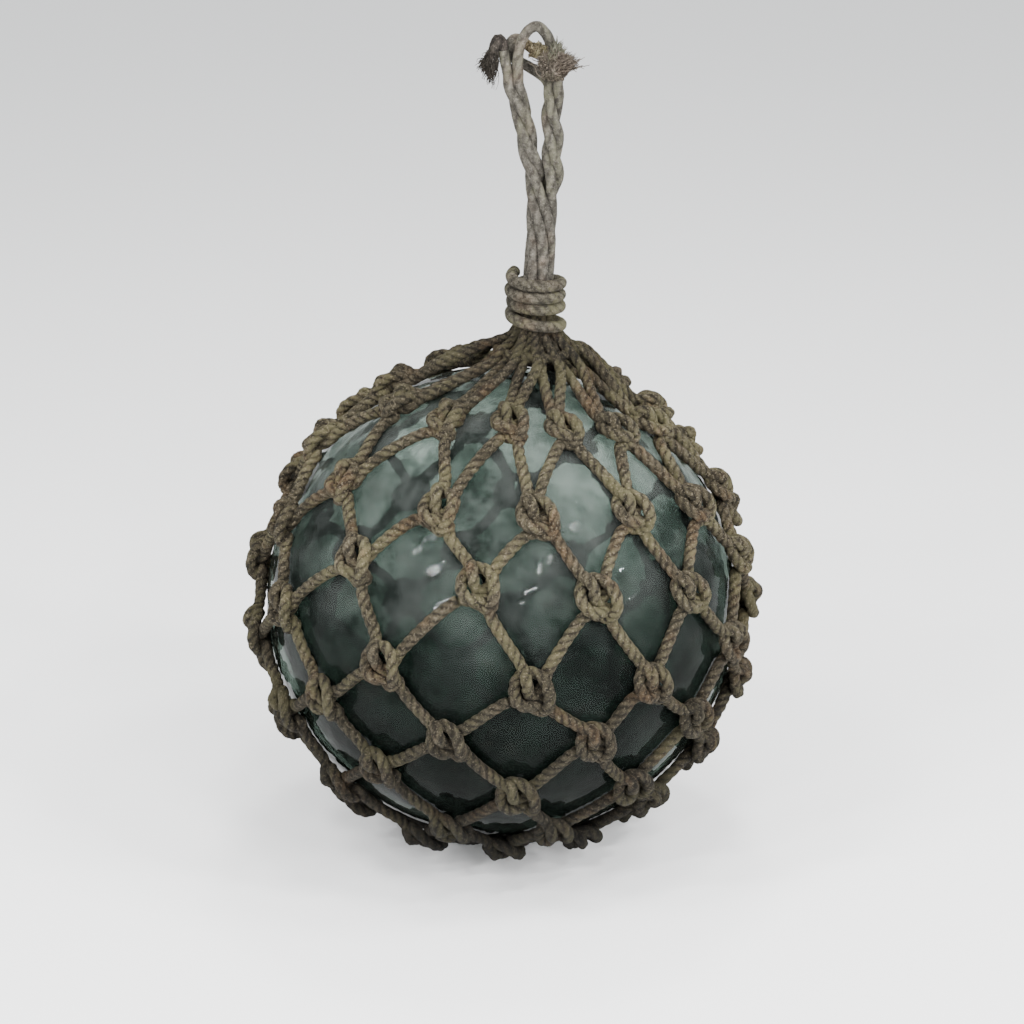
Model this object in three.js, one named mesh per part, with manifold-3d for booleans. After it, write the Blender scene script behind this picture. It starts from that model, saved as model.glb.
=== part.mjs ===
// Antique glass fishing float in a knotted rope net, with a whipped neck and a rope handle.
// Millimetres, +Z up. The origin is the centre of the flat closing coil that the float stands on.
import * as THREE from "three";
import { mergeVertices } from "three/addons/utils/BufferGeometryUtils.js";
import Module from "manifold-3d";

const wasm = await Module();
wasm.setup();

// Glass
const glass_radius = 150;
const glass_detail = 6;

// Net: its rope, its knots and how they lie on the glass
const net_rope = 9;
const fit_gap = 0.3;
const columns = 12;
const net_lean = 6.5;
const row_angles = [32.9, 53.2, 68.4, 85.1, 96.9, 109.4, 122, 138];
// The net hangs unevenly: degrees by which the knots stray from even rows and columns round the ball.
const row_tilt = 1.5;
const row_slack = 3.1;
const slack_row = 3;
const last_slack = 3;
const column_shift = 4.8;
const column_spread = 1.7;
const column_skew = 1.5;
const lean_ends_from = 125;
const lean_ends_at = 165;
const knot_radius = 15.5;
const port_room = 0.05;
const knot_height = 15.5;
const dimple_height = 8.5;
const bight_height = 18.5;
const crown_share = 0.6;
const knot_wander = 1.2;
const longest_leg = 47;

// Neck: the net's gathered top edge and the whipping above it
const neck_rise = 31;
const collar_outer = 20;
const collar_play = 1.6;
const collar_height = 10;
const whipping_rope = 8;
const whipping_turns = 4.2;
const whipping_steps = 10;

// Closing coil below: the net's bottom edge, flat where the float stands on it
const coil_radius = 36;
const seat_drop = 9.6;
const seat_bevel = 3;

// Handle: four ropes that rise through the whipping
const handle_rope = 8.4;
const bundle_gap = 0.6;
const bundle_top = 44;
const bundle_bottom = -22;
const rope_sides = 6;
// The length of one step in the places that the handle's ropes pass
const route_unit = 1;

// How far the frayed rope ends reach
const tuft_reach = 17;
const tail_reach = 12;

const rope_color = 0x7d7462;
const handle_color = 0x8d897c;
const glass_color = 0x4f7a6b;

const degrees = Math.PI / 180;
const seat_z = -(glass_radius + seat_drop);
// Straight faces sag towards the ball by span^2 / 8R, so the net's rope starts that much higher.
const lay = fit_gap + (longest_leg * longest_leg) / (8 * glass_radius);
const neck_length = glass_radius + neck_rise;
const neck = new THREE.Vector3(
  Math.sin(net_lean * degrees) * neck_length,
  0,
  Math.cos(net_lean * degrees) * neck_length,
);

function material(color, roughness) {
  return new THREE.MeshStandardMaterial({ color, roughness, metalness: 0 });
}

// The net's pole leans to +X, and upright again at the bottom where the float stands.
function leanAt(polar) {
  const t = THREE.MathUtils.smoothstep(polar, lean_ends_from, lean_ends_at);
  return net_lean * (1 - t) * degrees;
}

// Unit direction of a place on the ball: polar angle from the net's pole, azimuth from the front (-Y).
function direction(polar, azimuth) {
  const a = azimuth * degrees;
  const p = polar * degrees;
  const d = new THREE.Vector3(Math.sin(p) * Math.sin(a), -Math.sin(p) * Math.cos(a), Math.cos(p));
  return d.applyAxisAngle(new THREE.Vector3(0, 1, 0), leanAt(polar));
}

// A knot's own frame on the ball: outward, up towards the pole, and right as seen from outside.
function frameAt(polar, azimuth) {
  const out = direction(polar, azimuth);
  const above = direction(polar - 1, azimuth);
  const up = above.addScaledVector(out, -above.dot(out)).normalize();
  const right = new THREE.Vector3().crossVectors(up, out);
  return { out, up, right };
}

// Vertices and triangles of the net as they are laid down.
const points = [];
const faces = [];

function vertex(v) {
  points.push(v);
  return points.length - 1;
}

function triangle(a, b, c) {
  faces.push(a, b, c);
}

function quad(a, b, c, d) {
  triangle(a, b, c);
  triangle(a, c, d);
}

const coil_polar = 180 - Math.asin(coil_radius / glass_radius) / degrees;

// A place beside a knot's centre, at an angle and distance in its frame and a height above the glass.
function beside(frame, angle, distance, height) {
  const v = frame.out.clone().multiplyScalar(glass_radius);
  v.addScaledVector(frame.right, Math.cos(angle) * distance);
  v.addScaledVector(frame.up, Math.sin(angle) * distance);
  return vertex(v.normalize().multiplyScalar(glass_radius + height));
}

// A port is the five-sided end of a rope: bottom left, bottom right, right shoulder, ridge, left shoulder.
// Seen from the other end of the rope, left and right change places.
const facing = [1, 0, 4, 3, 2];

function joinPorts(a, b) {
  for (let i = 0; i < 5; i++) {
    const j = (i + 1) % 5;
    quad(a[i], a[j], b[facing[j]], b[facing[i]]);
  }
}

// A long rope bends once over the ball: its middle keeps its ends' height above the glass.
function joinRoundBall(a, b) {
  const middle = a.map((from, i) => {
    const start = points[from];
    const end = points[b[facing[i]]];
    const height = (start.length() + end.length()) / 2;
    return vertex(start.clone().add(end).setLength(height));
  });
  joinPorts(a, facing.map((i) => middle[i]));
  joinPorts(middle, b);
}

// The azimuth and polar angle of a knot: half-column steps from row to row, uneven as it was tied and hung.
function knotPlace(row, column) {
  const even = (360 / columns) * (column - (row % 2 === 0 ? 0.5 : 0));
  const side = Math.sin(even * degrees);
  const front = Math.cos(even * degrees);
  const below = Math.min(row - slack_row, last_slack);
  const azimuth = even + column_spread * side + column_shift * front + column_skew * below * side;
  const tilt = row_tilt * (front - 0.6 * side);
  const polar = row_angles[row] + tilt + row_slack * below * front * front;
  const wander = knot_wander * Math.sin(2.3 * row + 1.7 * column);
  return { polar: polar + wander, azimuth: azimuth + 2 * wander * Math.cos(1.9 * row + 2.7 * column) };
}

// The columns, in the rows above and below, of the knots that a knot's left and right ropes lead to.
function neighbours(row, column) {
  const shift = row % 2 === 0 ? -1 : 0;
  return { left: (column + shift + columns) % columns, right: (column + shift + 1) % columns };
}

// The direction from one frame to a point, as an angle in the frame.
function angleTo(frame, point) {
  return Math.atan2(point.dot(frame.up), point.dot(frame.right));
}

// The same, kept far enough from straight up or down that the ropes on both sides leave the knot clear.
function portAngle(frame, point, least) {
  const angle = angleTo(frame, point);
  const upright = (Math.sign(Math.sin(angle)) * Math.PI) / 2;
  const aside = Math.sign(Math.cos(angle)) || 1;
  const off = Math.max(Math.abs(angle - upright), least);
  return upright - Math.sign(Math.sin(angle)) * aside * Math.min(off, Math.PI / 2);
}

// A knot: an eight-sided ring of rope round a dimple. The upper left rope crosses over it into the dimple.
function layKnot(frame, targets, radius) {
  const half = Math.asin(net_rope / 2 / radius);
  const names = ["upperRight", "upperLeft", "lowerLeft", "lowerRight"];
  const low = [];
  const high = [];
  const crown = [];
  const ridges = [];
  names.forEach((name) => {
    const angle = portAngle(frame, targets[name], half + port_room);
    const over = name === "upperLeft" ? bight_height - knot_height : 0;
    for (const side of [-1, 1]) {
      low.push(beside(frame, angle + side * half, radius, lay));
      high.push(beside(frame, angle + side * half, radius, lay + net_rope * 0.6 + over));
      crown.push(beside(frame, angle + side * half * 1.3, radius * crown_share, lay + knot_height + over));
    }
    ridges.push(beside(frame, angle, radius, lay + net_rope + over));
  });
  const dimple = beside(frame, 0, 0, lay + dimple_height);
  const ports = {};
  names.forEach((name, k) => {
    const i = 2 * k;
    const j = 2 * k + 1;
    const next = (j + 1) % 8;
    ports[name] = [low[i], low[j], high[j], ridges[k], high[i]];
    triangle(high[i], ridges[k], crown[i]);
    triangle(ridges[k], crown[j], crown[i]);
    triangle(ridges[k], high[j], crown[j]);
    quad(low[j], low[next], high[next], high[j]);
    quad(high[j], high[next], crown[next], crown[j]);
  });
  for (let i = 0; i < 8; i++) {
    triangle(crown[i], crown[(i + 1) % 8], dimple);
  }
  for (let i = 1; i < 7; i++) {
    triangle(low[0], low[i + 1], low[i]);
  }
  return ports;
}

// The ends of the net's upper and lower ropes round an edge: one port for each rope, side by side.
// place(angle, level) gives the corner at "low", "high" or "ridge" level.
function layEdge(place, startAngle, turn) {
  const count = 2 * columns;
  const step = (turn * 2 * Math.PI) / count;
  const low = [];
  const high = [];
  const ridges = [];
  for (let i = 0; i < count; i++) {
    const angle = startAngle + i * step;
    low.push(vertex(place(angle, "low")));
    high.push(vertex(place(angle, "high")));
    ridges.push(vertex(place(angle + step / 2, "ridge")));
  }
  const ports = [];
  for (let i = 0; i < count; i++) {
    const j = (i + 1) % count;
    ports.push([low[i], low[j], high[j], ridges[i], high[i]]);
  }
  return { count, low, high, ridges, ports };
}

// The knots, row by row.
const knots = row_angles.map((_, row) =>
  Array.from({ length: columns }, (_, column) => {
    const { polar, azimuth } = knotPlace(row, column);
    return frameAt(polar, azimuth);
  }),
);

// The azimuth, in the net's frame, where each rope of an edge starts.
function edgeAzimuth(row, column, side) {
  const { azimuth } = knotPlace(row, column);
  return azimuth + (side * 360) / columns / 4;
}

const last_row = row_angles.length - 1;
const knot_ports = knots.map((rowKnots, row) =>
  rowKnots.map((frame, column) => {
    const { left, right } = neighbours(row, column);
    const targetAbove = (name, side) =>
      row === 0
        ? direction(knotPlace(0, column).polar / 3, edgeAzimuth(0, column, side))
        : knots[row - 1][name === "upperLeft" ? left : right].out;
    const targetBelow = (name, side) =>
      row === last_row
        ? direction(coil_polar, edgeAzimuth(last_row, column, side))
        : knots[row + 1][name === "lowerLeft" ? left : right].out;
    const targets = {
      upperLeft: targetAbove("upperLeft", -1),
      upperRight: targetAbove("upperRight", 1),
      lowerLeft: targetBelow("lowerLeft", -1),
      lowerRight: targetBelow("lowerRight", 1),
    };
    return layKnot(frame, targets, knot_radius);
  }),
);

// The ropes between the rows.
for (let row = 0; row < last_row; row++) {
  for (let column = 0; column < columns; column++) {
    const { left, right } = neighbours(row, column);
    const here = knot_ports[row][column];
    joinPorts(here.lowerLeft, knot_ports[row + 1][left].upperRight);
    joinPorts(here.lowerRight, knot_ports[row + 1][right].upperLeft);
  }
}

// Four ropes stand round the neck's axis, each its gap away from the next.
const bundle_offset = ((handle_rope + bundle_gap) / 2) * Math.SQRT2;

// The collar: the net's gathered top edge, a ring round the handle's ropes.
const bundle_reach = bundle_offset + handle_rope / 2;
const collar_inner = bundle_reach + collar_play;
const collar_top = neck.z - fit_gap;

function collarPoint(azimuthAngle, radius, height) {
  return new THREE.Vector3(
    neck.x + Math.sin(azimuthAngle) * radius,
    -Math.cos(azimuthAngle) * radius,
    collar_top - collar_height + height,
  );
}

function collarPlace(angle, level) {
  const heights = { low: 0, high: collar_height * 0.6, ridge: collar_height * 0.9 };
  return collarPoint(angle, collar_outer, heights[level]);
}

const first_rope = edgeAzimuth(0, 0, -1) * degrees - Math.PI / (2 * columns);
const collar = layEdge(collarPlace, first_rope, 1);
const collar_in_low = [];
const collar_in_high = [];
for (let i = 0; i < collar.count; i++) {
  const angle = first_rope + (i * 2 * Math.PI) / collar.count;
  collar_in_low.push(vertex(collarPoint(angle, collar_inner, 0)));
  collar_in_high.push(vertex(collarPoint(angle, collar_inner, collar_height)));
}
for (let i = 0; i < collar.count; i++) {
  const j = (i + 1) % collar.count;
  quad(collar.low[j], collar.low[i], collar_in_low[i], collar_in_low[j]);
  quad(collar_in_low[j], collar_in_low[i], collar_in_high[i], collar_in_high[j]);
  triangle(collar.high[i], collar.ridges[i], collar_in_high[i]);
  triangle(collar.ridges[i], collar_in_high[j], collar_in_high[i]);
  triangle(collar.ridges[i], collar.high[j], collar_in_high[j]);
}
for (let column = 0; column < columns; column++) {
  joinPorts(knot_ports[0][column].upperLeft, collar.ports[2 * column]);
  joinPorts(knot_ports[0][column].upperRight, collar.ports[2 * column + 1]);
}

// The closing coil: the net's bottom edge wound to a flat disc between the glass and the floor.
function coilPlace(angle, level) {
  const polar = Math.asin(coil_radius / glass_radius);
  const wall = { low: lay, high: net_rope * 0.6, ridge: net_rope * 0.8 };
  const reach = glass_radius + wall[level];
  return new THREE.Vector3(
    Math.sin(angle) * Math.sin(polar) * reach,
    -Math.cos(angle) * Math.sin(polar) * reach,
    Math.max(-Math.cos(polar) * reach, seat_z),
  );
}

const last_azimuth = edgeAzimuth(last_row, 0, 1) * degrees + Math.PI / (2 * columns);
const coil = layEdge(coilPlace, last_azimuth, -1);
const coil_rim = [];
for (let i = 0; i < coil.count; i++) {
  const angle = last_azimuth - (i * 2 * Math.PI) / coil.count;
  const rim = coil_radius - seat_bevel;
  coil_rim.push(vertex(new THREE.Vector3(Math.sin(angle) * rim, -Math.cos(angle) * rim, seat_z)));
}
const coil_top = vertex(new THREE.Vector3(0, 0, -(glass_radius + lay)));
const coil_seat = vertex(new THREE.Vector3(0, 0, seat_z));
for (let i = 0; i < coil.count; i++) {
  const j = (i + 1) % coil.count;
  triangle(coil.low[j], coil.low[i], coil_top);
  triangle(coil.high[i], coil.ridges[i], coil_rim[i]);
  triangle(coil.ridges[i], coil_rim[j], coil_rim[i]);
  triangle(coil.ridges[i], coil.high[j], coil_rim[j]);
  triangle(coil_rim[i], coil_rim[j], coil_seat);
}
for (let column = 0; column < columns; column++) {
  const first = (2 * (columns - column)) % (2 * columns);
  joinRoundBall(knot_ports[last_row][column].lowerRight, coil.ports[first]);
  joinRoundBall(knot_ports[last_row][column].lowerLeft, coil.ports[(first + 1) % (2 * columns)]);
}

const net_geometry = new THREE.BufferGeometry();
net_geometry.setFromPoints(points);
net_geometry.setIndex(faces);

// Solid of a closed geometry, for the joins below.
function solid(geometry) {
  geometry.deleteAttribute("normal");
  geometry.deleteAttribute("uv");
  const merged = mergeVertices(geometry, 1e-4);
  return new wasm.Manifold(
    new wasm.Mesh({
      numProp: 3,
      vertProperties: new Float32Array(merged.attributes.position.array),
      triVerts: new Uint32Array(merged.index.array),
    }),
  );
}

function geometryOf(body) {
  const mesh = body.getMesh();
  const geometry = new THREE.BufferGeometry();
  geometry.setAttribute("position", new THREE.BufferAttribute(mesh.vertProperties, 3));
  geometry.setIndex(new THREE.BufferAttribute(mesh.triVerts, 1));
  return geometry;
}

// A rope along a smooth curve through the given places.
function rope(route, diameter, steps) {
  const section = new THREE.Shape();
  for (let i = 0; i < rope_sides; i++) {
    const a = (i * 2 * Math.PI) / rope_sides;
    const x = (Math.cos(a) * diameter) / 2;
    const y = (Math.sin(a) * diameter) / 2;
    if (i === 0) section.moveTo(x, y);
    else section.lineTo(x, y);
  }
  section.closePath();
  return new THREE.ExtrudeGeometry(section, { steps, extrudePath: route, bevelEnabled: false });
}

// A lock of frayed yarn: a thin cone from a root towards a tip.
function lock(root, tip, thickness) {
  const along = tip.clone().sub(root);
  const cone = new THREE.ConeGeometry(thickness / 2, along.length(), 5);
  cone.translate(0, along.length() / 2, 0);
  const turn = new THREE.Quaternion().setFromUnitVectors(
    new THREE.Vector3(0, 1, 0),
    along.clone().normalize(),
  );
  cone.applyQuaternion(turn);
  cone.translate(root.x, root.y, root.z);
  return solid(cone);
}

// The whipping: one rope wound closely round the neck.
class Winding extends THREE.Curve {
  constructor(radius, turns, pitch, centre) {
    super();
    Object.assign(this, { radius, turns, pitch, centre });
  }
  getPoint(t, target = new THREE.Vector3()) {
    const a = t * this.turns * 2 * Math.PI;
    return target.set(
      this.centre.x + Math.sin(a) * this.radius,
      this.centre.y - Math.cos(a) * this.radius,
      this.centre.z + t * this.turns * this.pitch,
    );
  }
}
const winding_reach = (bundle_reach + fit_gap + whipping_rope / 2) / Math.cos(Math.PI / whipping_steps);
const winding = new Winding(
  winding_reach,
  whipping_turns,
  whipping_rope + 2 * fit_gap,
  new THREE.Vector3(neck.x, 0, neck.z + whipping_rope / 2 + fit_gap),
);
const whipping_geometry = rope(winding, whipping_rope, Math.round(whipping_turns * whipping_steps));

// The handle's ropes: places are given in route units from the neck, sideways, back and up.

function handleRoute(side, back, places) {
  const from = [bundle_bottom, 0, bundle_top].map((z) => [side * bundle_offset, back * bundle_offset, z]);
  const onward = places.map((place) => place.map((distance) => distance * route_unit));
  const route = [...from, ...onward].map(([x, y, z]) => new THREE.Vector3(x, y, z).add(neck));
  return new THREE.CatmullRomCurve3(route, false, "centripetal");
}

// Rises at the left, crosses behind its partner and arches over the top to the right.
const arched_route = handleRoute(-1, 0, [
  [-3.5, 0.5, 65],
  [-5, 1, 88],
  [-7, 1.5, 108],
  [-10.4, 1.5, 130],
  [-15, 3, 143],
  [-14.7, 5, 152],
  [-11, 4, 160],
  [-8, 0, 167],
  [-7, -1, 174],
  [-1.3, -0.5, 182],
  [4.7, 1, 180],
  [9.6, 4, 175],
  [12.5, 9, 168],
  [12.5, 12, 160],
]);

// Rises in front, leans over to the left and ends in a frayed tail that hangs down.
const tail_route = handleRoute(0, -1, [
  [3.5, -6.6, 65],
  [2.8, -6.8, 88],
  [0.5, -6.6, 108],
  [-2.8, -6.4, 127],
  [-6.4, -6.2, 136],
  [-8.8, -6, 145],
  [-13, -5.2, 156],
  [-16, -4.8, 164],
  [-18.8, -4.4, 172],
  [-21.5, -4.2, 175],
  [-24.5, -4, 170],
  [-26.2, -3.8, 163],
]);

// Rises at the right, turns left behind the arched rope and comes back as a cut end under the arch.
const hitched_route = handleRoute(1, 0, [
  [10.2, 0.2, 65],
  [10.4, -0.8, 88],
  [9, -3, 108],
  [8.2, -3.4, 130],
  [8.6, -2.4, 142],
  [5.5, 3.5, 152],
  [-3, 12.5, 156],
  [-8, 14.5, 161.5],
  [-4, 13.5, 167],
  [1, 7, 169],
  [4, 1, 169.5],
  [5, -2.5, 169],
]);

// Rises at the back and to the right and ends in a wide brush of unlaid yarn.
const frayed_route = handleRoute(0, 1, [
  [4, 7, 65],
  [6, 8, 88],
  [12, 6.6, 108],
  [13.2, 6, 130],
  [14.3, 6, 141],
  [16, 4.6, 149],
  [14.5, 0, 157],
]);

// Yarns of the brush: they spread from the rope's end to the right, up and forward.
function brush(body, root, reach) {
  const locks = [
    [-0.72, -0.3, 0.1],
    [0.05, -0.4, 0.6],
    [0.4, -0.15, 1.2],
    [0.72, -0.1, 0.85],
    [0.98, -0.1, 0.42],
    [0.7, -0.35, 0.02],
    [0.1, -0.75, 0.25],
    [0.55, 0.5, 0.4],
  ];
  let made = body;
  locks.forEach(([x, y, z]) => {
    const tip = root.clone().add(new THREE.Vector3(x, y, z).multiplyScalar(reach));
    made = made.add(lock(root, tip, handle_rope * 1.3));
  });
  return made;
}

// Yarns of the tail: they hang down and a little apart.
function hangingYarns(body, root, reach) {
  let made = body;
  [-0.5, 0, 0.45].forEach((spread) => {
    const tip = root.clone().add(new THREE.Vector3(spread * reach, -spread, -reach));
    made = made.add(lock(root, tip, handle_rope * 0.8));
  });
  return made;
}

const handle_steps = 26;
const tail_end = tail_route.getPoint(1);
const frayed_end = frayed_route.getPoint(1);
const tail_body = hangingYarns(solid(rope(tail_route, handle_rope, handle_steps)), tail_end, tail_reach);
const frayed_body = brush(solid(rope(frayed_route, handle_rope, 14)), frayed_end, tuft_reach);

const float = new THREE.Group();

function piece(name, geometry, color, roughness) {
  const mesh = new THREE.Mesh(geometry, material(color, roughness));
  mesh.name = name;
  float.add(mesh);
}

piece("glass_ball", new THREE.IcosahedronGeometry(glass_radius, glass_detail), glass_color, 0.1);
piece("rope_net", net_geometry, rope_color, 0.95);
piece("neck_whipping", whipping_geometry, rope_color, 0.95);
piece("handle_rope_arched", rope(arched_route, handle_rope, handle_steps), handle_color, 0.95);
piece("handle_rope_tail", geometryOf(tail_body), handle_color, 0.95);
piece("handle_rope_hitched", rope(hitched_route, handle_rope, handle_steps), handle_color, 0.95);
piece("handle_rope_frayed", geometryOf(frayed_body), handle_color, 0.95);

float.position.z = -seat_z;

export default float;
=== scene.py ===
"""A blown glass fishing float in its knotted rope net, with a whipped neck and a frayed rope handle.

Metres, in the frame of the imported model: +Z up, -Y towards the side that the photograph shows.
"""

import bpy
import numpy as np
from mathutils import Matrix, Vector


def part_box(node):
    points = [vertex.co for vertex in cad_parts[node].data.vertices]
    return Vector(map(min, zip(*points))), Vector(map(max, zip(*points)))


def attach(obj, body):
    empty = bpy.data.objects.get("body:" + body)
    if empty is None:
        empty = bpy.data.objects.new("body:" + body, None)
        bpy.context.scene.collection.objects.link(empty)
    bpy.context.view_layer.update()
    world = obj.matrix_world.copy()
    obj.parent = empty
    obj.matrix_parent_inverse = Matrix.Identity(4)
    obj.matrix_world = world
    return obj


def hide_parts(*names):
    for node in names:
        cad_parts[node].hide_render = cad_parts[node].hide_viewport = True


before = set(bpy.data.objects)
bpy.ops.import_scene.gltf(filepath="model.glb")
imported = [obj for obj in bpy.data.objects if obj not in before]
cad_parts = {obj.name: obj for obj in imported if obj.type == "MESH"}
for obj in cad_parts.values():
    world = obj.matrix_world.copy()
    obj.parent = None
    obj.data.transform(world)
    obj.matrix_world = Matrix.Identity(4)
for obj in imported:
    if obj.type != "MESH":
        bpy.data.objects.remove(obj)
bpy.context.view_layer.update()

# The glass
#
# A blown ball of sea green glass, sealed and hollow, about 8 mm thick. It was blown by hand, so its
# wall waves a little, seed bubbles lie in it, and it is dulled in places by dirt and by the sea.

ball_low, ball_high = (np.array(corner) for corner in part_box("glass_ball"))
ball_centre = (ball_low + ball_high) / 2
GLASS_RADIUS = 0.150
GLASS_WALL = 0.008
GLASS_WAVE = 0.0004
GLASS_POINTS_ROUND, GLASS_RINGS = 160, 84
BUBBLES = 130
SMALLEST_BUBBLE, LARGEST_BUBBLE = 0.0004, 0.0016
BUBBLE_POINTS_ROUND, BUBBLE_RINGS = 8, 6
# Painted shade: the glass is darkest below the first of these heights and lightest above the second.
GLASS_SHADE_DARKEST_BELOW, GLASS_SHADE_ENDS_ABOVE = 0.088, 0.295
# Lower than real glass's, so that the pale floor isn't mirrored in a bright band at the ball's edge.
GLASS_INDEX = 1.1


def new_piece(name, points, *face_groups):
    """A mesh object at the origin with smooth faces, from an array of points and arrays of face corners."""
    faces = [corners for group in face_groups for corners in group.tolist()]
    mesh = bpy.data.meshes.new(name)
    mesh.from_pydata(points.tolist(), [], faces)
    mesh.polygons.foreach_set("use_smooth", np.ones(len(faces), dtype=bool))
    mesh.update()
    piece = bpy.data.objects.new(name, mesh)
    bpy.context.scene.collection.objects.link(piece)
    return piece


def dress(piece, slot, node, *materials):
    """Gives a piece its materials, attaches it to the root body and hides the part of the model that it
    stands for. The slot is not used.
    """
    for material in materials:
        piece.data.materials.append(material)
    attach(piece, "root")
    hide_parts(node)


def sphere_grid(around, down):
    """Unit directions on rings from pole to pole, and the triangles between them.

    The rings lie at polar angles pi * i / down, each with as many points as around says, and one point
    closes each pole.
    """
    polar = np.pi * np.arange(1, down) / down
    azimuth = 2 * np.pi * np.arange(around) / around
    p, a = np.meshgrid(polar, azimuth, indexing="ij")
    rings = np.stack([np.sin(p) * np.cos(a), np.sin(p) * np.sin(a), np.cos(p)], axis=-1).reshape(-1, 3)
    points = np.vstack([rings, [[0, 0, 1], [0, 0, -1]]])
    i, j = np.meshgrid(np.arange(down - 2), np.arange(around), indexing="ij")
    here, aside = i * around + j, i * around + (j + 1) % around
    below, across = here + around, aside + around
    sides = np.concatenate([
        np.stack([here, below, across], axis=-1).reshape(-1, 3),
        np.stack([here, across, aside], axis=-1).reshape(-1, 3),
    ])
    j = np.arange(around)
    last = (down - 2) * around
    north, south = len(rings), len(rings) + 1
    top = np.stack([np.full(around, north), j, (j + 1) % around], axis=-1)
    bottom = np.stack([last + (j + 1) % around, last + j, np.full(around, south)], axis=-1)
    return points, np.concatenate([sides, top, bottom])


def glass_wave(directions):
    """Height of the blown surface's waves: a sum of slow sines of the direction, from -1 to 1."""
    x, y, z = directions.T
    return (
        0.5 * np.sin(5.1 * x + 2.3 * z + 0.7)
        + 0.3 * np.sin(9.7 * y - 6.1 * z + 2.1)
        + 0.2 * np.sin(13.3 * x + 11.9 * y + 4.0)
    )


def blown_ball():
    """The outer wall, the inner wall turned towards the hollow, and the bubbles between them.

    Outer point = centre + direction * (radius - greatest wave + wave).
    Inner point = centre + direction * (radius - wall + wave / 2).
    Returns the points, the triangles and how many of them belong to the outer wall.
    """
    directions, faces = sphere_grid(GLASS_POINTS_ROUND, GLASS_RINGS)
    wave = (GLASS_WAVE * glass_wave(directions))[:, None]
    outer = ball_centre + directions * (GLASS_RADIUS - GLASS_WAVE + wave)
    inner = ball_centre + directions * (GLASS_RADIUS - GLASS_WALL + wave / 2)
    points, triangles = [outer, inner], [faces, faces[:, ::-1] + len(outer)]
    chance = np.random.default_rng(7)
    small, small_faces = sphere_grid(BUBBLE_POINTS_ROUND, BUBBLE_RINGS)
    place = chance.normal(size=(BUBBLES, 3))
    place /= np.linalg.norm(place, axis=1, keepdims=True)
    size = SMALLEST_BUBBLE + (LARGEST_BUBBLE - SMALLEST_BUBBLE) * chance.random(BUBBLES) ** 3
    depth = GLASS_RADIUS - chance.uniform(0.35, 0.65, BUBBLES) * GLASS_WALL
    seeds = ball_centre + place[:, None] * depth[:, None, None] + small[None] * size[:, None, None]
    first = 2 * len(outer) + len(small) * np.arange(BUBBLES)[:, None, None]
    points.append(seeds.reshape(-1, 3))
    triangles.append((small_faces[None, :, ::-1] + first).reshape(-1, 3))
    return np.vstack(points), np.vstack(triangles), len(faces)


class Nodes:
    """Builds a node tree step by step. A value is a number, a colour or another node's output."""

    def __init__(self, tree):
        self.tree = tree
        tree.nodes.clear()

    def put(self, socket, value):
        if isinstance(value, bpy.types.NodeSocket):
            self.tree.links.new(value, socket)
        else:
            socket.default_value = value

    def add(self, kind, inputs=None, **settings):
        node = self.tree.nodes.new(kind)
        for name, value in settings.items():
            setattr(node, name, value)
        for name, value in (inputs or {}).items():
            self.put(node.inputs[name], value)
        return node

    def ramp(self, factor, stops):
        """A colour ramp: stops are pairs of place and colour, grey where the colour is one number."""
        node = self.add("ShaderNodeValToRGB", {"Fac": factor})
        elements = node.color_ramp.elements
        while len(elements) < len(stops):
            elements.new(0.5)
        for element, (place, colour) in zip(elements, stops):
            element.position = place
            element.color = (colour, colour, colour, 1) if isinstance(colour, float) else (*colour, 1)
        return node.outputs["Color"]

    def mix(self, factor, one, other, blend="MIX"):
        node = self.add("ShaderNodeMix", data_type="RGBA", blend_type=blend)
        for place, value in ((0, factor), (6, one), (7, other)):
            self.put(node.inputs[place], (*value, 1) if isinstance(value, tuple) else value)
        return node.outputs[2]

    def math(self, operation, *values):
        node = self.add("ShaderNodeMath", operation=operation)
        for socket, value in zip(node.inputs, values):
            self.put(socket, value)
        return node.outputs[0]

    def stretched(self, value, low, high, to_low=0.0, to_high=1.0):
        """The value carried from the span low..high to the span to_low..to_high, and held at its ends."""
        spans = {"From Min": low, "From Max": high, "To Min": to_low, "To Max": to_high}
        return self.add("ShaderNodeMapRange", {"Value": value, **spans}).outputs["Result"]

    def noise(self, vector, scale, detail=3.0, roughness=0.5):
        node = self.add(
            "ShaderNodeTexNoise",
            {"Vector": vector, "Scale": scale, "Detail": detail, "Roughness": roughness},
        )
        return node.outputs["Fac"]


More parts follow.
